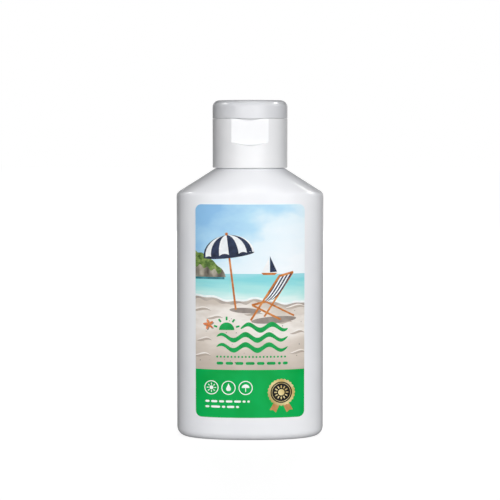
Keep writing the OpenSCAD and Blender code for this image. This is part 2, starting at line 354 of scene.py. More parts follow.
def build_thread(name, root_r, crest_r, bottom_z, root_w, body, material):
    """A rounded thread ridge that fades in and out at its ends."""
    steps, across, fade_steps = 150, 10, 12
    points = []
    for k, turn in enumerate(np.linspace(0, 360 * THREAD_TURNS, steps + 1)):
        fade = smooth_step(min(k, steps - k) / fade_steps)
        crest = root_r + (crest_r - root_r) * (0.1 + 0.9 * fade)
        z = bottom_z + PITCH * turn / 360
        angle = math.radians(turn)
        for s in np.linspace(-1, 1, across + 1):
            r = root_r + (crest - root_r) * smooth_step((1 - abs(s)) / (1 - CREST_SHARE))
            points.append((r * math.cos(angle), r * math.sin(angle), z + s * root_w / 2))
    width = across + 1
    faces = []
    for a in range(0, steps * width, width):
        faces += [(a + j, a + j + width, a + j + width + 1, a + j + 1) for j in range(across)]
        faces.append((a, a + across, a + width + across, a + width))
    faces.append(tuple(range(width)))
    faces.append(tuple(range(steps * width + across, steps * width - 1, -1)))
    if crest_r < root_r:
        faces = [face[::-1] for face in faces]
    piece = mesh_object(name, points, faces, [material])
    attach(piece, body)


# The cap

def flat_depth(angle, flat_y, blend=0.05):
    """How deep a flat at flat_y cuts the cap's wall, at angles from the flat's middle."""
    near = np.abs(angle) < 60
    depth = CAP_R - flat_y / np.cos(np.radians(np.where(near, angle, 0)))
    soft = np.clip(depth + blend, 0, 2 * blend) ** 2 / (4 * blend)
    return np.where(near, np.where(depth > blend, depth, soft), 0)


def hinge_depth(z):
    """How deep the hinge's flat and the pockets of its straps cut the wall, at a height z."""
    room = LEAF_H - abs(z - HINGE_Z)
    flat = flat_depth(FROM_BACK, WEB_Y) * smooth_step((room + SEAM) / CUT_SOFT + 0.5)
    wide = smooth_step((POCKET_HALF - np.abs(np.abs(FROM_BACK) - STRAP_ANGLE)) / POCKET_SOFT + 0.5)
    high = smooth_step((room + STRAP_GAP) / CUT_SOFT + 0.5)
    return np.maximum(flat, wide * high * (FILM_T + STRAP_GAP))


def cap_turns():
    """Columns round the cap, closer together at the edges of its cuts."""
    crease = math.degrees(math.asin(THUMB_W / 2 / CAP_R))
    flat = math.degrees(math.acos(WEB_Y / CAP_R))
    marks = list(np.arange(0, 360, 2.0))
    marks += [270 + a for a in np.arange(-crease, crease, 1.0)]
    for side in (-1, 1):
        marks += [270 + side * (crease + a) for a in np.arange(-1.2, 1.3, 0.2)]
        marks += [90 + side * (flat + a) for a in np.arange(-1.0, 1.1, 0.25)]
        for edge in (STRAP_ANGLE - POCKET_HALF, STRAP_ANGLE + POCKET_HALF):
            marks += [90 + side * (edge + a) for a in (-0.5, -0.2, -0.1, 0, 0.1, 0.2, 0.5)]
    return np.array(spaced([mark % 360 for mark in marks], 0.06))


# The columns' angles in degrees: from +X, and from the front and the back from -180 to 180
CAP_TURNS = cap_turns()
FROM_FRONT = (CAP_TURNS + 90 + 180) % 360 - 180
FROM_BACK = (CAP_TURNS - 90 + 180) % 360 - 180
FRONT_X = CAP_R * np.sin(np.radians(np.clip(FROM_FRONT, -90, 90)))


def cut_rows(side):
    """Heights of the rows at the ends of the hinge's cuts, above (1) or below (-1) the fold."""
    return [HINGE_Z + side * (LEAF_H + gap) + step for gap in (SEAM, STRAP_GAP) for step in CUT_ROWS]


def lathe(name, path, shape, poles, closed, material):
    """A piece from a path of (radius, height, is outer wall), turned round the axis."""
    cos, sin = np.cos(np.radians(CAP_TURNS)), np.sin(np.radians(CAP_TURNS))
    points = []
    for r, z, outer in path:
        radius, high = shape(r, z) if outer else (r, z)
        points.append(np.stack([radius * cos, radius * sin, high + 0 * cos], 1))
    for wanted, end in zip(poles, (path[0], path[-1])):
        if wanted:
            points.append(np.array([(0, 0, end[1])]))
    faces = loft_faces(len(path), len(CAP_TURNS), poles, closed)
    return mesh_object(name, np.vstack(points), faces, [material])


def inner(path):
    return [(r, z, False) for r, z in path]


def outer(path):
    return [(r, z, True) for r, z in path]


def base_shape(r, z):
    """The cap base's outer wall, with the thumb recess and the hinge's cuts in it."""
    x = np.clip(np.abs(FRONT_X), 0, THUMB_W / 2)
    bow_r = ((THUMB_W / 2) ** 2 + THUMB_BOW ** 2) / (2 * THUMB_BOW)
    rise = bow_r - np.sqrt(bow_r * bow_r - x * x)
    near = (z - SKIRT_Z) / (LEDGE_Z - SKIRT_Z) if z < LEDGE_Z else (SEAM_Z - z) / (SEAM_Z - LEDGE_Z)
    bowed = z - (THUMB_BOW - rise) * np.clip(near, 0, 1)
    step = smooth_step((z - LEDGE_Z) / LEDGE_H)
    return r - flat_depth(FROM_FRONT, THUMB_Y) * step - hinge_depth(z), bowed


def build_cap_base(material):
    """The cap's base as one closed shell: up its outer wall, over the rim and down its inside."""
    top_z = HINGE_Z - RIM_GAP / 2
    heights = list(np.linspace(SKIRT_Z + CAP_EDGE + 0.2, LEDGE_Z - 0.3, 9))
    heights += [LEDGE_Z - 0.12, LEDGE_Z - 0.04] + list(np.linspace(LEDGE_Z, LEDGE_Z + LEDGE_H, 9))
    heights += list(np.linspace(LEDGE_Z + LEDGE_H + 0.1, SEAM_Z - CAP_EDGE / 2 - 0.1, 9))
    heights += cut_rows(-1)
    path = outer(arc(CAP_R - CAP_EDGE, SKIRT_Z + CAP_EDGE, CAP_EDGE, 270, 360, 5))
    path += outer([(CAP_R, z) for z in spaced(heights, 0.012)])
    path += outer(arc(CAP_R - RIM_EDGE, top_z - RIM_EDGE, RIM_EDGE, 0, 90, 4))
    path += inner(rounded([
        (WELL_R + 0.5, top_z),
        (WELL_R, top_z),
        (WELL_R, WELL_Z),
        (SPOUT_R, WELL_Z),
        (SPOUT_R, SPOUT_Z),
        (ORIFICE_R, SPOUT_Z),
        (ORIFICE_R, DECK_Z),
        (SEAT_R, DECK_Z),
        (SEAT_R, THUMB_Z),
        (THREAD_BORE_R, THUMB_Z),
        (THREAD_BORE_R, SKIRT_Z),
        (CAP_R - CAP_EDGE - 0.2, SKIRT_Z),
    ]))
    piece = lathe("cap_base_shell", path, base_shape, (False, False), True, material)
    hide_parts("cap_base")
    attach(piece, "cap")


def lid_shape(r, z):
    """The lid's outer wall, with the hinge's cuts, and the thin lip that hangs down inside it."""
    reach = np.clip(1 - (2 * FRONT_X / LIP_W) ** 2, 0, 1) * (np.abs(FROM_FRONT) < 90)
    share = min(max(1 - (r - CAP_R + LIP_STEP) / LIP_RISE, 0), 1) if z < LIP_Z else 0
    return r - hinge_depth(z), z - LIP_H * reach * share


def build_lid(material):
    """The lid as one closed shell: over its pin, snap ring and rim, up its outer wall and over its top."""
    edge = RIM_EDGE
    rim_z = HINGE_Z + RIM_GAP / 2
    step_r = CAP_R - LIP_STEP
    side_r = CAP_R - LID_WALL
    lip_r = THUMB_Y + LIP_GAP + 0.2
    edge_z = TOP_Z - LID_CROWN
    crown_r = ((CAP_R - LID_BEND) ** 2 + LID_CROWN ** 2) / (2 * LID_CROWN)
    tip_z = SPOUT_Z - PIN_H
    snap_z = SEAM_Z - SNAP_H
    path = inner(rounded([
        (0.5, tip_z),
        (PIN_R, tip_z),
        (PIN_R, ROOF_Z),
        (SNAP_R - SNAP_WALL, ROOF_Z),
        (SNAP_R - SNAP_WALL, snap_z),
        (SNAP_R, snap_z),
        (SNAP_R, ROOF_Z),
        (side_r, ROOF_Z),
        (side_r, rim_z + LID_RIM_H + 0.3),
        (lip_r - LID_RIM_W, rim_z + LID_RIM_H),
        (lip_r - LID_RIM_W, rim_z - LID_RIM_DROP),
        (lip_r - 0.05, rim_z - LID_RIM_DROP),
        (lip_r - 0.05, rim_z + edge),
    ]))
    path += outer(arc(lip_r + edge, rim_z + edge, edge, 180, 270, 3))
    path += outer([(step_r - 0.03, rim_z)])
    path += outer([(step_r + share * LIP_RISE, rim_z + 0.03) for share in (0, 0.15, 0.5, 0.85, 1)])
    path += outer(arc(CAP_R - edge, rim_z + edge, edge, 270, 360, 4))
    heights = list(np.linspace(rim_z + edge + 0.1, edge_z - LID_BEND - 0.1, 12)) + cut_rows(1)
    path += outer([(CAP_R, z) for z in sorted(heights)])
    path += outer(arc(CAP_R - LID_BEND, edge_z - LID_BEND, LID_BEND, 0, 88, 16))
    for r in np.linspace(CAP_R - LID_BEND - 0.3, 0.4, 14):
        path.append((r, TOP_Z - crown_r + math.sqrt(crown_r ** 2 - r ** 2), False))
    piece = lathe("lid_shell", path, lid_shape, (True, True), False, material)
    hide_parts("cap_lid")
    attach(piece, "lid")


def build_film(name, node, place, width, material):
    """A strip of hinge film between the cap and the lid, thinner along its fold."""
    rows = np.concatenate([
        np.linspace(HINGE_Z - LEAF_H, SEAM_Z, 8)[:-1],
        np.linspace(SEAM_Z, LID_Z, 9)[:-1],
        np.linspace(LID_Z, HINGE_Z + LEAF_H, 8),
    ])
    across = np.linspace(-width / 2, width / 2, 9)
    points = []
    for z in rows:
        thick = FILM_T * (FOLD_SHARE + (1 - FOLD_SHARE) * smooth_step(abs(z - HINGE_Z) / FOLD_H))
        points += [(*place(s, FILM_T), z) for s in across]
        points += [(*place(s, FILM_T - thick), z) for s in across[::-1]]
    around = 2 * len(across)
    faces = loft_faces(len(rows), around, (False, False))
    faces.append(tuple(range(around - 1, -1, -1)))
    faces.append(tuple(range((len(rows) - 1) * around, len(rows) * around)))
    piece = mesh_object(name, points, faces, [material])
    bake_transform(piece)
    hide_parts(node)


def on_flat(across, out):
    """Places on the web, at a distance across it and a depth out of the hinge's flat."""
    return -across, WEB_Y + out


def on_wall(side):
    """Places on a side strap, at a distance across it and a depth out of its pocket."""
    def place(across, out):
        angle = math.radians(90 + side * STRAP_ANGLE) + across / CAP_R
        r = CAP_R - FILM_T + out
        return r * math.cos(angle), r * math.sin(angle)
    return place


def build_washer(material):
    """A flat foam ring with soft edges."""
    middle = (WASHER_HIGH.x + WASHER_HOLE_R) / 2
    path = rounded([
        (middle, WASHER_LOW.z),
        (WASHER_HIGH.x, WASHER_LOW.z),
        (WASHER_HIGH.x, WASHER_HIGH.z),
        (WASHER_HOLE_R, WASHER_HIGH.z),
        (WASHER_HOLE_R, WASHER_LOW.z),
        (middle - 0.2, WASHER_LOW.z),
    ])
    piece = lathe("washer_ring", inner(path), None, (False, False), True, material)
    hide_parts("sealing_washer")
    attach(piece, "washer")


# The labels' print is made of flat shapes, in millimetres across the label and up from the ground

HORIZON_Z = 46.4
SHORE_Z = 39.2
PANEL_Z = 19.9      # top of the front's green panel
HEAD_Z = 57.6       # foot of the back's green head
PRINT_W = 20        # half width of shapes that run off the label
HEADLAND_X = -6.6
HEADLAND_FOOT = HORIZON_Z - 0.9


def oval(cx, cz, rx, rz, steps=28):
    turns = np.linspace(0, math.tau, steps + 1)[:-1]
    return [(cx + rx * math.cos(t), cz + rz * math.sin(t)) for t in turns]


def disc(cx, cz, r, steps=28):
    return oval(cx, cz, r, r, steps)


def block(x0, z0, x1, z1):
    return [(x0, z0), (x1, z0), (x1, z1), (x0, z1)]


def band(z0, z1):
    """A block over the whole width of the print."""
    return block(-PRINT_W, z0, PRINT_W, z1)


def in_ink(ink_name, shapes):
    return [(ink_name, shape) for shape in shapes]


def petals(cx, cz, r, count, swing, steps):
    """A round outline that swings in and out."""
    turns = np.linspace(0, math.tau, steps + 1)[:-1]
    reach = r * (1 - swing + swing * np.cos(count * turns))
    return list(zip(cx + reach * np.sin(turns), cz + reach * np.cos(turns)))


def bar(x0, z0, x1, z1, width):
    """A straight bar between two points."""
    length = math.hypot(x1 - x0, z1 - z0)
    nx, nz = -(z1 - z0) / length * width / 2, (x1 - x0) / length * width / 2
    return [(x0 - nx, z0 - nz), (x1 - nx, z1 - nz), (x1 + nx, z1 + nz), (x0 + nx, z0 + nz)]


def pill(x0, x1, z, height):
    """A bar with round ends."""
    r = height / 2
    return arc(x0 + r, z, r, 90, 270, 5) + arc(x1 - r, z, r, 270, 450, 5)


def ray_ring(cx, cz, near, far, width, count, start=0.0, turn=360.0):
    """Short rays round a centre."""
    rays = []
    for k in range(count):
        a = math.radians(start + turn * k / (count if turn == 360 else count - 1))
        c, s = math.cos(a), math.sin(a)
        rays.append(bar(cx + near * c, cz + near * s, cx + far * c, cz + far * s, width))
    return rays


def wave(x0, x1, z, rise, length, thick, shift=0.0):
    """A band that swings up and down and narrows at its ends."""
    xs = np.linspace(x0, x1, 48)
    middle = z + rise * np.sin((xs - x0) / length * math.tau + shift)
    ends = np.sin(np.linspace(0, math.pi, 48)) ** 0.35
    half = thick / 2 * np.clip(ends, 0.08, 1)
    low = list(zip(xs, middle - half))
    high = list(zip(xs, middle + half))
    return low + high[::-1]


def turned(points, angle, cx, cz):
    c, s = math.cos(math.radians(angle)), math.sin(math.radians(angle))
    return [(cx + x * c - z * s, cz + x * s + z * c) for x, z in points]


def shore(x, low=0.0):
    """Height of the water's edge at a place across the label."""
    return SHORE_Z + low + 0.45 * math.sin(x * 0.42 + 0.6) + 0.2 * math.sin(x * 1.15) - 0.05 * x


def below(curve):
    """The area between the green panel and a curve."""
    xs = np.linspace(-PRINT_W, PRINT_W, 60)
    return [(-PRINT_W, PANEL_Z), (PRINT_W, PANEL_Z)] + [(x, curve(x)) for x in xs[::-1]]


def parasol_art(foot_x, foot_z, height, radius, lean):
    """A beach umbrella in gores of two colours, stuck in the sand."""
    art = [("shade", turned(oval(0, 0, radius * 0.62, 0.75), -3, foot_x + 2.6, foot_z - 0.3))]
    tip_x, tip_z = turned([(0, height)], lean, foot_x, foot_z)[0]
    art.append(("orange", bar(foot_x, foot_z, tip_x, tip_z, 0.55)))
    rise, gores = radius * 0.78, 8
    rim_z = height - rise

    def seam(k):
        reach = radius * math.sin(math.radians(-90 + 180 * k / gores))
        turns = np.linspace(0, math.pi / 2, 9)
        return [(reach * math.sin(t), rim_z + rise * math.cos(t)) for t in turns]

    turns = np.linspace(math.pi, math.tau, 24)
    under = [(radius * math.cos(t), rim_z + 0.9 * math.sin(t)) for t in turns]
    art.append(("dusk", turned(under + [(0, rim_z + 1)], lean, foot_x, foot_z)))
    for k in range(gores):
        left, right = seam(k), seam(k + 1)
        (x0, z0), (x1, z1) = left[-1], right[-1]
        sag = 0.16 * (x1 - x0)
        shares = np.linspace(0, 1, 7)[1:-1]
        rim = [(x0 + (x1 - x0) * t, z0 + sag * math.sin(math.pi * t)) for t in shares]
        gore = left + rim + right[::-1][:-1]
        art.append(("navy" if k % 2 == 0 else "milk", turned(gore, lean, foot_x, foot_z)))
    knob = disc(0, height + 0.3, 0.42, 12)
    art.append(("orange", turned(knob, lean, foot_x, foot_z)))
    return art


def chair_art(x, z, size):
    """A folding beach chair with a striped sling, seen half from the side."""
    def at(u, v, share=0):
        """A place on the chair's near side, or a share of the way to its far side."""
        return x + size * (u + 3.7 * share), z + size * (v + share)

    back, leg = ((-4.4, 0), (3.4, 12.2)), ((-4.0, 4.2), (3.8, 0.2))
    art = [("shade", turned(oval(0, 0, 6.2 * size, 0.95 * size), 4, *at(1.9, 0.1)))]
    art += in_ink("orange", [bar(*at(*low, 1), *at(*high, 1), 0.5 * size) for low, high in (back, leg)])
    stripes = 7
    for k in range(stripes):
        strip = []
        for share in (k / stripes, (k + 1) / stripes):
            edge = []
            for t in np.linspace(0, 1, 12):
                sag = 1.9 * math.sin(math.pi * t ** 1.15)
                edge.append(at(3.4 - 7.4 * t, 12.2 - 8.0 * t - sag, share))
            strip.append(edge)
        art.append(("navy" if k % 2 == 0 else "milk", strip[0] + strip[1][::-1]))
    art += in_ink("orange", [bar(*at(*low), *at(*high), 0.55 * size) for low, high in (back, leg)])
    art.append(("orange", bar(*at(3.25, 12.15), *at(3.55, 12.25, 1), 0.6 * size)))
    art.append(("orange", bar(*at(-4.1, 4.2), *at(-3.9, 4.2, 1), 0.6 * size)))
    return art


def dune_art():
    """Low ridges in the sand, light on top and shaded below, and a few pebbles."""
    art = []
    for x, z, width, rise in (
        (-13.6, 36.0, 6.5, 0.9), (-9.8, 34.2, 5.0, 0.5), (12.4, 36.9, 6.0, 0.7),
        (9.6, 33.0, 4.2, 0.5), (-12.6, 27.9, 4.6, 0.7), (-13.2, 23.6, 5.2, 0.6),
        (13.0, 29.8, 4.4, 0.8), (13.2, 24.4, 4.8, 0.6), (1.0, 35.3, 5.4, 0.5),
    ):
        shares = np.linspace(-1, 1, 15)
        bulge = 1 - shares * shares
        crown = z + rise * bulge + 0.25 * np.sin(3 * shares)
        for ink_name, top, foot in (("hollow", -0.1, -0.75), ("crest", 0.3, -0.1)):
            high, low = (list(zip(x + width * shares / 2, crown + up * bulge)) for up in (top, foot))
            art.append((ink_name, high + low[::-1][1:-1]))
    random.seed(23)
    for _ in range(26):
        x, z, r = random.uniform(-14.4, 14.4), random.uniform(21, 37), random.uniform(0.07, 0.17)
        art.append(("rock", disc(x, z, r, 8)))
    return art


def starfish_art(x, z, r):
    lean = 14
    star = petals(0, 0, r, 5, 0.38, 60)
    art = [("shade", turned(star, lean, x + 0.25, z - 0.25)), ("coral", turned(star, lean, x, z))]
    for a in np.linspace(0, math.tau, 6)[:-1] + 0.24:
        for reach in (r * 0.25, r * 0.5):
            art.append(("orange", disc(x + reach * math.sin(a), z + reach * math.cos(a), 0.13, 8)))
    return art


def boat_art(x, z):
    """A boat with two sails."""
    return [
        ("milk", [(x - 0.1, z + 0.7), (x - 0.1, z + 4.6), (x - 2.0, z + 0.9)]),
        ("navy", [(x + 0.15, z + 0.7), (x + 2.1, z + 0.9), (x + 0.15, z + 5.2)]),
        ("orange", [(x - 1.7, z), (x + 1.5, z), (x + 2.2, z + 0.6), (x - 2.2, z + 0.6)]),
    ]


def headland(x):
    """Height of the wooded headland on the left of the horizon."""
    t = max(0.0, (HEADLAND_X - x) / 8.4)
    return HEADLAND_FOOT + 7.4 * t ** 0.62 + 0.35 * math.sin(2.3 * x) * t ** 0.4


def headland_art():
    """The headland's rock, its woods and the dark water at its foot."""
    top = [(x, headland(x)) for x in np.linspace(-PRINT_W, HEADLAND_X, 34)]
    rock = [(-PRINT_W, HEADLAND_FOOT), (HEADLAND_X, HEADLAND_FOOT)] + top[::-1][1:]
    woods = top[:-3]
    edge = [(x, z * 0.45 + HEADLAND_FOOT * 0.55 + 0.5 * math.sin(3.1 * x)) for x, z in woods]
    water = block(-PRINT_W, HEADLAND_FOOT - 0.6, HEADLAND_X - 0.4, HEADLAND_FOOT)
    return [("rock", rock), ("leaf", edge + woods[::-1]), ("dusk_sea", water)]


def seal_art(x, z, r):
    """A round gold seal with a dark middle and a plain sun."""
    tail = [(-1.9, -2.6), (-0.4, -3.3), (-1.5, -5.6), (-2.2, -4.9), (-3.2, -4.9)]
    art = in_ink("bronze", [[(x + side * a, z + b) for a, b in tail] for side in (1, -1)])
    art += [("gold", petals(x, z, r * 1.03, 24, 0.03 / 1.03, 144)), ("ebony", disc(x, z, r * 0.8, 48))]
    art += [("gold", disc(x, z, r * 0.71, 48)), ("ebony", disc(x, z, r * 0.675, 48))]
    art.append(("gold", disc(x, z, r * 0.24, 24)))
    return art + in_ink("gold", ray_ring(x, z, r * 0.33, r * 0.52, r * 0.085, 12))


def icon_art(ink_name, x, z, r, kind):
    """A small pictogram in a ring: a sun, a drop or an umbrella."""
    art = [(ink_name, disc(x, z, r, 36)), ("under_" + ink_name, disc(x, z, r * 0.88, 36))]
    if kind == "sun":
        art.append((ink_name, disc(x, z, r * 0.28, 20)))
        art += in_ink(ink_name, ray_ring(x, z, r * 0.4, r * 0.66, r * 0.11, 8))
    if kind == "drop":
        right, left = (arc(x, z - r * 0.16, r * 0.34, a, a + 94.7, 6) for a in (-60, 145.3))
        art.append((ink_name, right + [(x, z + r * 0.62)] + left))
    if kind == "umbrella":
        dome = [(x + r * 0.55 * math.cos(t), z + r * 0.5 * math.sin(t)) for t in np.linspace(0, math.pi, 16)]
        art += in_ink(ink_name, [dome, bar(x, z, x, z - r * 0.56, r * 0.11)])
    return art


def dash_row(ink_name, x0, x1, z, height, seed):
    """A row of dashes of mixed lengths."""
    random.seed(seed)
    art, x = [], x0
    while x < x1 - 0.8:
        stop = min(x1, x + random.uniform(0.7, 2.6))
        art.append((ink_name, pill(x, max(stop, x + height * 1.05), z, height)))
        x = stop + height * 0.75
    return art


def front_art():
    """The front print, from the back to the front: a beach above a green panel."""
    art = [("sea", band(SHORE_Z - 3, HORIZON_Z))] + headland_art() + boat_art(5.3, HORIZON_Z - 0.3)
    art.append(("foam", below(lambda x: shore(x, 0.35))))
    art.append(("wet_sand", below(lambda x: shore(x, -0.25))))
    art.append(("sand", below(lambda x: shore(x, -1.0) + 0.25 * math.sin(1.7 * x))))
    art += dune_art()
    art += parasol_art(-3.9, 36.6, 20.6, 7.0, 7)
    art += chair_art(4.6, 33.6, 1.0)
    art += starfish_art(-11.4, 32.4, 1.5)
    left, right, sun_x, sun_z = -9.2, 10.4, -6.4, 30.9
    for x, z, shift in ((left, 26.1, 0.2), (left, 28.9, 0.2), (-2.6, 31.7, -0.5)):
        art.append(("green", wave(x, right, z, 0.8, 6.53, 1.45, shift)))
    art.append(("green", arc(sun_x, sun_z, 2.1, 0, 180, 19)))
    art += in_ink("green", ray_ring(sun_x, sun_z, 2.7, 3.7, 0.5, 5, 18, 144))
    art += in_ink("green", [disc(x, 23.5, 0.28, 12) for x in np.arange(-9.0, 10.3, 0.98)])
    art += dash_row("green", left, right, 21.7, 0.8, 5)
    art.append(("panel", band(0, PANEL_Z)))
    art += seal_art(8.6, 13.6, 3.7)
    for x, kind in ((-10.6, "sun"), (-5.9, "drop"), (-1.2, "umbrella")):
        art += icon_art("white_ink", x, 14.9, 1.95, kind)
    for stop, z, seed in ((1.0, 11.1, 3), (-2.0, 9.6, 8)):
        art += dash_row("white_ink", -12.3, stop, z, 0.6, seed)
    return art


def back_art():
    """The back print: a green head, ruled lines, pictograms and bars, with no lettering."""
    margin, sun_x, sun_z = 12.2, 8.2, 13.6
    art = [("panel", band(HEAD_Z, LABEL_TOP + 10))]
    art.append(("white_ink", wave(-10.6, 10.6, 61.4, 0.7, 7.1, 1.2, 0.2)))
    for row in range(11):
        stop = 3.5 if row % 4 == 3 else margin
        art += dash_row("slate", -margin, stop, 54.8 - 1.55 * row, 0.5, 20 + row)
    for k, kind in enumerate(("sun", "drop", "umbrella", "sun")):
        art += icon_art("green", -9.6 + 6.4 * k, 33.4, 2.3, kind)
    for row in range(5):
        stop = -2.0 if row == 4 else margin
        art += dash_row("slate", -margin, stop, 28.4 - 1.5 * row, 0.48, 50 + row)
    x = -11.6
    random.seed(4)
    while x < -0.6:
        width = random.choice((0.18, 0.18, 0.36, 0.54))
        art.append(("ebony", block(x, 9.4, x + width, 17.8)))
        x += width + random.choice((0.2, 0.36, 0.5))
    art.append(("green", disc(sun_x, sun_z, 3.9, 48)))
    art.append(("paper", disc(sun_x, sun_z, 3.4, 48)))
    art += in_ink("green", ray_ring(sun_x, sun_z, 1.5, 2.6, 0.4, 12))
    art.append(("green", disc(sun_x, sun_z, 1.1, 24)))
    return art


def rounded_block(half_w, half_h, r, steps=6):
    """The label's outline."""
    points = []
    for right, up, start in ((1, 1, 0), (-1, 1, 90), (-1, -1, 180), (1, -1, 270)):
        corner_x, corner_z = right * (half_w - r), LABEL_MIDDLE + up * (half_h - r)
        points += arc(corner_x, corner_z, r, start, start + 90, steps)
    return points


def wrapped(x, z, out, side):
    """Places a distance out of the body's wall, with their normals. side is -1 at the front."""
    x = np.asarray(x, float)
    share = np.clip(np.abs(x) / HALF_W, 0, 0.999)
    deep = (1 - share ** POWER) ** (1 / POWER)
    nx = np.sign(x) * share ** (POWER - 1) / HALF_W
    ny = deep ** (POWER - 1) / HALF_D
    size = np.hypot(nx, ny)
    nx, ny = nx / size, ny / size
    points = np.stack([x + nx * out, side * (HALF_D * deep + ny * out), z], 1)
    return points, np.stack([nx, side * ny, 0 * nx], 1)


def film_flat(art, ground):
    """The label's flat mesh: points, triangles and the topmost ink of each triangle."""
    half_w, half_h = LABEL_W / 2 + SPREAD, (LABEL_TOP - LABEL_FOOT) / 2
    shapes = [("paper", rounded_block(half_w, half_h, LABEL_CORNER))]
    shapes.append((ground, rounded_block(half_w - MARGIN, half_h - MARGIN, LABEL_CORNER - MARGIN)))
    shapes += art
    points, loops, edges = [], [], []
    for _, shape in shapes:
        area = sum(x0 * z1 - x1 * z0 for (x0, z0), (x1, z1) in zip(shape, shape[1:] + shape[:1]))
        loops.append(list(range(len(points), len(points) + len(shape))))
        points += shape if area > 0 else shape[::-1]
    columns, rows = np.arange(-half_w + 0.7, half_w, 0.8), np.arange(LABEL_FOOT + 2, LABEL_TOP, 2.5)
    grid = [((x, LABEL_FOOT - 1), (x, LABEL_TOP + 1)) for x in columns]
    grid += [((-half_w - 1, z), (half_w + 1, z)) for z in rows]
    for ends in grid:
        edges.append((len(points), len(points) + 1))
        points += ends
    points = [Vector(point) for point in points]
    made, _, faces, _, _, owners = delaunay_2d_cdt(points, edges, loops, 1, 1e-4)
    kept = [(face, owned) for face, owned in zip(faces, owners) if 0 in owned]
    used = sorted({i for face, _ in kept for i in face})
    place = {old: new for new, old in enumerate(used)}
    triangles = [tuple(place[i] for i in face) for face, _ in kept]
    inks = [shapes[max(owned) if 1 in owned else 0][0] for _, owned in kept]
    return np.array([made[i] for i in used]), triangles, inks


def build_label(name, node, art, ground, inks, side):
    """A closed film wrapped on the body, with its print on the outer face."""
    flat, triangles, topmost = film_flat(art, ground)
    count = len(flat)
    x = flat[:, 0] * -side
    printed, out = wrapped(x, flat[:, 1], GLUE_T + LABEL_T, side)
    glued, _ = wrapped(x, flat[:, 1], GLUE_T, side)
    edges = [edge for a, b, c in triangles for edge in ((a, b), (b, c), (c, a))]
    both_ways = set(edges)
    rims = [(b, a, a + count, b + count) for a, b in edges if (b, a) not in both_ways]
    backs = [(c + count, b + count, a + count) for a, b, c in triangles]
    faces = triangles + backs + rims
    names = sorted(set(topmost) | {"paper"})
    slots = [names.index(ink) for ink in topmost] + [names.index("paper")] * (len(backs) + len(rims))
    points = np.vstack([printed, glued])
    piece = mesh_object(name, points, faces, [inks[ink] for ink in names], slots)
    normals = [tuple(out[i]) for face in triangles for i in face]
    normals += [tuple(-out[i - count]) for face in backs for i in face]
    for face in rims:
        a, b, c = (points[i] for i in face[:3])
        n = np.cross(b - a, c - b)
        normals += [tuple(n / np.linalg.norm(n))] * 4
    piece.data.normals_split_custom_set(normals)
    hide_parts(node)
    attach(piece, "bottle_body")


# Materials

def linear(code):
    """A colour from its hexadecimal screen value."""
    parts = [int(code[i:i + 2], 16) / 255 for i in (0, 2, 4)]
    return [p / 12.92 if p <= 0.04045 else ((p + 0.055) / 1.055) ** 2.4 for p in parts]


def new_material(name, roughness):
    material = bpy.data.materials.new(name)
    material.use_nodes = True
    shader = material.node_tree.nodes["Principled BSDF"]
    shader.inputs["Roughness"].default_value = roughness
    return material, material.node_tree, shader


def add_node(tree, kind, inputs, operation=None):
    """A new node. Its inputs, by name or number, are constants or other nodes' outputs."""
    node = tree.nodes.new("ShaderNode" + kind)
    if operation:
        node.operation = operation
    for key, value in inputs.items():
        if isinstance(value, bpy.types.NodeSocket):
            tree.links.new(value, node.inputs[key])
        else:
            node.inputs[key].default_value = value
    return node


def math_node(tree, operation, *values):
    return add_node(tree, "Math", dict(enumerate(values)), operation).outputs[0]


def object_place(tree):
    return add_node(tree, "TexCoord", {}).outputs["Object"]


def noise(tree, place, scale, detail=2.0, stretch=(1, 1, 1)):
    place = add_node(tree, "Mapping", {"Vector": place, "Scale": stretch}).outputs["Vector"]
    return add_node(tree, "TexNoise", {"Vector": place, "Scale": scale, "Detail": detail}).outputs["Fac"]


def bump(tree, shader, height, strength, distance):
    node = add_node(tree, "Bump", {"Height": height, "Strength": strength, "Distance": distance})
    tree.links.new(node.outputs["Normal"], shader.inputs["Normal"])


def coloured(tree, shader, factor, stops):
    """Gives the shader a colour that follows a factor, between stops of a position and a colour."""
    ramp = add_node(tree, "ValToRGB", {"Fac": factor})
    elements = ramp.color_ramp.elements
    while len(elements) < len(stops):
        elements.new(1)
    for element, (position, code) in zip(elements, stops):
        element.position = position
        element.color = (*linear(code), 1)
    tree.links.new(ramp.outputs["Color"], shader.inputs["Base Color"])


def moulded_plastic(name, dark, light, roughness, gloss):
    """Glossy moulded plastic with slight changes of shade and a faint waviness."""
    material, tree, shader = new_material(name, roughness)
    shader.inputs["Specular IOR Level"].default_value = gloss
    place = object_place(tree)
    shade = noise(tree, place, 90)
    coloured(tree, shader, shade, [(0.3, dark), (0.7, light)])
    low, high = roughness - 0.03, roughness + 0.03
    rough = add_node(tree, "MapRange", {"Value": shade, "To Min": low, "To Max": high})
    tree.links.new(rough.outputs["Result"], shader.inputs["Roughness"])
    bump(tree, shader, noise(tree, place, 160, 1.0), 0.12, 0.05 * MM)
    return material


def closed_foam(name):
    """Matt foam with fine cells."""
    material, tree, shader = new_material(name, 0.9)
    cells = add_node(tree, "TexVoronoi", {"Vector": object_place(tree), "Scale": 5000})
    coloured(tree, shader, cells.outputs["Distance"], [(0.0, "D9D8D2"), (0.6, "F1F0EC")])
    bump(tree, shader, cells.outputs["Distance"], 0.5, 0.1 * MM)
    return material


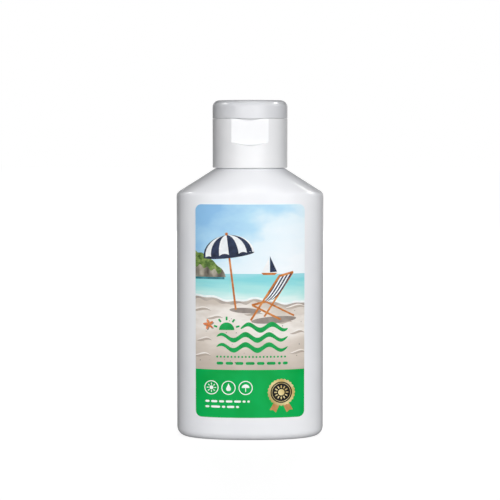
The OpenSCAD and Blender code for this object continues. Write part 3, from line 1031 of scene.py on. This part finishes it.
def ink(name, stops, scale=300, stretch=(1, 1, 1), detail=2.0, line=None, amount=1.0):
    """Glossy print. Its colour follows noise or runs unevenly along a line from low to high."""
    material, tree, shader = new_material(name, 0.3)
    place = object_place(tree)
    factor = noise(tree, place, scale, detail, stretch)
    if line is not None:
        low, high = Vector(line[0]) * MM, Vector(line[1]) * MM
        span = (high - low) / (high - low).length_squared
        along = add_node(tree, "VectorMath", {0: place, 1: span}, "DOT_PRODUCT")
        mixed = math_node(tree, "MULTIPLY_ADD", factor, amount, along.outputs["Value"])
        factor = math_node(tree, "SUBTRACT", mixed, low.dot(span) + amount / 2)
    coloured(tree, shader, factor, stops)
    shader.inputs["Specular IOR Level"].default_value = 0.12
    shader.inputs["Coat Weight"].default_value = 0.05
    shader.inputs["Coat Roughness"].default_value = 0.12
    bump(tree, shader, noise(tree, place, 220, 1.0), 0.08, 0.04 * MM)
    return material


def flat_ink(name, dark, light, scale=500):
    """Print in one colour, a little uneven as thin ink is."""
    return ink(name, [(0.35, dark), (0.65, light)], scale)


def label_inks():
    """The inks by name: flat ones, then those that mix several colours."""
    horizon, shore_line = (0, 0, HORIZON_Z), (0, 0, SHORE_Z)
    sky = [(0.0, "F4FAFE"), (0.42, "E4F4FC"), (0.66, "B7E0F6"), (1.0, "8EC1EA")]
    sea = [(0.0, "DDF4F1"), (0.35, "B0E8E6"), (0.8, "86D8DE"), (1.0, "9FDDE6")]
    sand = [(0.0, "C6B9AD"), (0.35, "D7CCC1"), (0.55, "E7DED5"), (0.72, "F2ECE6"), (1.0, "D0C5BA")]
    rock = [(0.3, "57524A"), (0.5, "8B8478"), (0.7, "BDB6A6")]
    leaf = [(0.3, "39522B"), (0.5, "6B8A44"), (0.7, "A3B56A")]
    gold = [(0.1, "A88B4A"), (0.45, "E8D9A0"), (0.7, "C9B06A"), (0.95, "F3E9C2")]
    flat = {
        "paper": ("film_margin", "E9F2F4", "F4FAFB"),
        "pale": ("pale_print", "ECF3F4", "F2F8F8"),
        "foam": ("foam_print", "E8F4F4", "FBFEFE", 700),
        "wet_sand": ("wet_sand_print", "A89C93", "C3B8AE", 300),
        "crest": ("sand_crest_print", "EFE7DF", "FBF7F3", 300),
        "hollow": ("sand_hollow_print", "B3A599", "C3B6AA", 300),
        "shade": ("sand_shadow_print", "8F857F", "A59A92", 400),
        "dusk_sea": ("deep_water_print", "2F6E7C", "4A94A0", 600),
        "dusk": ("shaded_cloth_print", "1A2133", "2A3450"),
        "navy": ("navy_print", "1E2740", "2C3858"),
        "milk": ("cloth_white_print", "E9ECEF", "F7F9FA"),
        "orange": ("orange_print", "B9692C", "D98E4C", 700),
        "coral": ("coral_print", "D9703A", "EE9860", 900),
        "green": ("green_print", "119A4A", "1BAA56"),
        "panel": ("green_panel_print", "00A347", "06AF54", 120),
        "bronze": ("ribbon_print", "B47C4A", "D2A06C", 400),
        "ebony": ("dark_print", "141414", "262626"),
        "white_ink": ("white_print", "EDF5EF", "FAFDFB"),
        "slate": ("slate_print", "4A5560", "66727D"),
    }
    inks = {key: flat_ink(*row) for key, row in flat.items()}
    inks |= {
        "sky": ink("sky_print", sky, 95, (1, 1, 1.9), 3.0,
                   ((9, 0, HORIZON_Z + 1), (-6, 0, LABEL_TOP + 1)), 0.7),
        "sea": ink("sea_print", sea, 260, (0.35, 1, 2.2), 2.0, (shore_line, horizon), 0.55),
        "sand": ink("sand_print", sand, 150, (0.5, 1, 1.5), 6.0, ((0, 0, PANEL_Z), shore_line), 1.1),
        "rock": ink("rock_print", rock, 420, (1, 1, 0.6), 3.0),
        "leaf": ink("leaf_print", leaf, 900, (1, 1, 1), 3.0),
        "gold": ink("gold_print", gold, 300, (1, 1, 1), 2.0, ((4, 0, 9), (13, 0, 18)), 0.5),
    }
    inks["under_white_ink"] = inks["panel"]
    inks["under_green"] = inks["pale"]
    return inks


# The stage

CAMERA_PLACE = Vector((0, -480, 87)) * MM
CAMERA_AIM = Vector((0, 0, 52.1)) * MM
CAMERA_LENS = 123.4
LAMP_AIM = Vector((0, 0, 55)) * MM
DOME_COLOUR = (0.97, 0.985, 1, 1)
DOME_LIGHT = 0.02
GLOSS_SHARE = 0.03      # of the white background that a gloss shows
FLOOR_W = 6000
FLOOR_COLOUR = (0.25, 0.25, 0.25, 1)
FLOOR_WHITE = {"From Min": 0.1, "From Max": 0.8, "To Min": 0.88, "To Max": 1}   # by distance in metres


def aimed(thing, place, aim):
    """Puts a new camera or lamp at a place, turned to what it is aimed at."""
    made = bpy.data.objects.new(thing.name, thing)
    bpy.context.scene.collection.objects.link(made)
    made.location = place
    made.rotation_euler = (aim - place).to_track_quat("-Z", "Y").to_euler()
    return made


def build_camera():
    lens = bpy.data.cameras.new("camera")
    lens.lens = CAMERA_LENS
    lens.sensor_width = 36
    lens.clip_start = 0.01
    bpy.context.scene.camera = aimed(lens, CAMERA_PLACE, CAMERA_AIM)


def shows_background(tree):
    """1 for rays from the camera or through glass, and less for a gloss, or edges would turn white."""
    path = add_node(tree, "LightPath", {}).outputs
    direct = math_node(tree, "MAXIMUM", path["Is Camera Ray"], path["Is Transmission Ray"])
    return math_node(tree, "MULTIPLY_ADD", path["Is Glossy Ray"], GLOSS_SHARE, direct)


def build_world():
    """A white background, and a weak even light from all round."""
    world = bpy.data.worlds.new("studio")
    bpy.context.scene.world = world
    world.use_nodes = True
    tree = world.node_tree
    tree.nodes.clear()
    seen = add_node(tree, "Background", {"Color": (1, 1, 1, 1)})
    dome = add_node(tree, "Background", {"Color": DOME_COLOUR, "Strength": DOME_LIGHT})
    mix = add_node(tree, "MixShader", {0: shows_background(tree), 1: dome.outputs[0], 2: seen.outputs[0]})
    add_node(tree, "OutputWorld", {"Surface": mix.outputs[0]})


def softbox(name, azimuth, elevation, distance, width, height, level):
    """A lamp aimed at the bottle, with its lengths in metres. Azimuth 0 is at the camera and turns
    towards +X. level is the light that it gives a face turned to it."""
    a, e = math.radians(azimuth), math.radians(elevation)
    reach = distance * Vector((math.sin(a) * math.cos(e), -math.cos(a) * math.cos(e), math.sin(e)))
    light = bpy.data.lights.new(name, "AREA")
    light.shape = "RECTANGLE"
    light.size, light.size_y = width, height
    light.energy = level * (math.pi * distance) ** 2
    return aimed(light, LAMP_AIM + reach, LAMP_AIM)


def build_lamps():
    """Soft front light with a stronger right side, a back light, and spots that only a gloss shows."""
    softbox("front_wide", 0, 8, 1.1, 1.5, 0.42, 0.44)
    softbox("front_left", -26, 7, 0.9, 0.6, 0.3, 0.18)
    softbox("front_right", 20, 14, 0.9, 0.8, 0.6, 0.53)
    softbox("side_right", 90, 22, 0.9, 0.22, 0.22, 0.06)
    softbox("overhead", 0, 82, 0.9, 0.5, 0.5, 0.13)
    softbox("back", 180, 14, 0.9, 0.6, 0.4, 0.85).visible_glossy = False
    for azimuth, elevation in ((-106, 43), (-99, 38), (106, 43), (99, 38), (121, 44)):
        softbox("edge_light", azimuth, elevation, 0.7, 0.14, 0.08, 0.17).visible_diffuse = False
    softbox("rim_left", -166, 3, 0.9, 0.4, 0.3, 0.022).visible_diffuse = False
    softbox("rim_right", 158, 3, 0.9, 0.5, 0.3, 0.03).visible_diffuse = False


def build_floor():
    half = FLOOR_W / 2
    points = [(x, y, 0) for x, y in block(-half, -half, half, half)]
    mesh_object("floor", points, [(0, 1, 2, 3)], [floor_material()])


def floor_material():
    """A white sheet that stays white far off, with the bottle's shadow near it."""
    material, tree, shader = new_material("white_sheet", 0.9)
    shader.inputs["Base Color"].default_value = FLOOR_COLOUR
    shader.inputs["Specular IOR Level"].default_value = 0
    distance = add_node(tree, "VectorMath", {0: object_place(tree)}, "LENGTH")
    white = add_node(tree, "MapRange", {"Value": distance.outputs["Value"], **FLOOR_WHITE})
    strength = math_node(tree, "MULTIPLY", white.outputs["Result"], shows_background(tree))
    glow = add_node(tree, "Emission", {"Strength": strength})
    both = add_node(tree, "AddShader", {0: shader.outputs[0], 1: glow.outputs[0]})
    tree.links.new(both.outputs[0], tree.nodes["Material Output"].inputs["Surface"])
    return material


bpy.context.scene.view_settings.view_transform = "Standard"
build_camera()
build_world()
build_floor()
build_lamps()

bottle_plastic = moulded_plastic("bottle_plastic", "EEEFF3", "F3F4F7", 0.2, 0.3)
cap_plastic = moulded_plastic("cap_plastic", "EFF0F2", "F5F5F7", 0.22, 0.3)
# The lid is the cap's plastic with its colour painted darker, as painted shade for the lid's greyer look
shaded_lid_plastic = moulded_plastic("shaded_lid_plastic", "DEDFE3", "E4E5E8", 0.2, 0.25)
foam = closed_foam("foam")
inks = label_inks()

build_bottle(bottle_plastic)
neck_bottom = THUMB_Z - THREAD_W / 2 - THREAD_GAP - PITCH * THREAD_TURNS
thread_drop = (THREAD_W + CAP_THREAD_W) * (1 + CREST_SHARE) / 4 + THREAD_GAP
build_thread("neck_thread", NECK_R - THREAD_BED, NECK_R + THREAD_T, neck_bottom, THREAD_W,
             "bottle_body", bottle_plastic)
build_thread("cap_thread", THREAD_BORE_R + THREAD_BED, NECK_R + THREAD_GAP, neck_bottom - thread_drop,
             CAP_THREAD_W, "cap", cap_plastic)
build_cap_base(cap_plastic)
build_lid(shaded_lid_plastic)
build_film("hinge_film", "hinge_web", on_flat, WEB_HIGH.x - WEB_LOW.x, cap_plastic)
build_film("strap_left", "hinge_strap_left", on_wall(1), STRAP_W, cap_plastic)
build_film("strap_right", "hinge_strap_right", on_wall(-1), STRAP_W, cap_plastic)
build_washer(foam)
build_label("front_print", "front_label", front_art(), "sky", inks, -1)
build_label("back_print", "back_label", back_art(), "pale", inks, 1)
